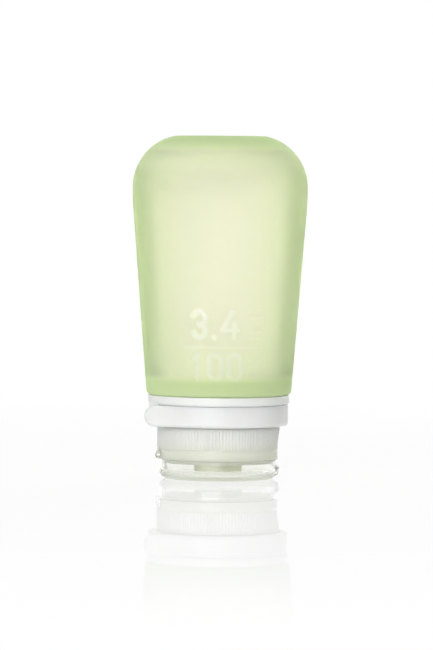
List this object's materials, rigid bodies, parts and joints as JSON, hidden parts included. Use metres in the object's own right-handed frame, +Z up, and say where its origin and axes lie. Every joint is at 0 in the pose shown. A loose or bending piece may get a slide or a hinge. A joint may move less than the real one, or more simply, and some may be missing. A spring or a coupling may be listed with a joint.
{
  "type": "travel squeeze bottle",
  "caption": "Soft silicone squeeze bottle standing on its clear flip lid, with a ribbed screw cap, a slit-valve spout and a white collar that carries a swing-out carry loop.",
  "frame": {"origin": "on the surface that the bottle stands on, under the centre of its outline, which is the axis of the body, collar, cap and lid", "axes": "+Z up, from the lid to the base of the silicone body; -Y is the front with the measure marks; the lid's hinge is at -X and its thumb ledge at +X"},
  "size_m": [0.0528, 0.0528, 0.1033],
  "materials": {
    "green_silicone": "translucent satin",
    "white_plastic": "satin",
    "frosted_plastic": "frosted translucent",
    "clear_plastic": "clear gloss",
    "clear_silicone": "translucent satin",
    "steel": "satin"
  },
  "bodies": {
    "cap": {"screw_cap": "frosted_plastic", "dispensing_valve": "clear_silicone", "valve_retainer": "frosted_plastic"},
    "lid": {"flip_lid": "clear_plastic"},
    "seal": {"neck_seal": "clear_silicone"},
    "bottle": {"silicone_body": "green_silicone", "neck_collar": "white_plastic", "neck_insert": "frosted_plastic", "loop_pin": "steel"},
    "loop": {"carry_loop": "white_plastic"}
  },
  "joints": [
    {"name": "lid_flip", "type": "hinge", "parent": "cap", "child": "lid", "pos_m": [-0.018, 0, 0.0071], "axis": [0, 1, 0], "range_deg": [0, 170]},
    {"name": "bottle_lift", "type": "slide", "parent": "cap", "child": "seal", "axis": [0, 0, 1], "range_m": [0, 0.00804]},
    {"name": "bottle_turn", "type": "hinge", "parent": "seal", "child": "bottle", "pos_m": [0, 0, 0.0118], "axis": [0, 0, 1], "range_deg": [0, 450]},
    {"name": "loop_swing", "type": "hinge", "parent": "bottle", "child": "loop", "pos_m": [0.01734, 0.01084, 0.0193], "axis": [0, 0, 1], "range_deg": [0, 110]}
  ],
  "couplings": [
    {"joint": "bottle_lift", "follows": "bottle_turn", "m_per_rad": 0.0010186}
  ]
}
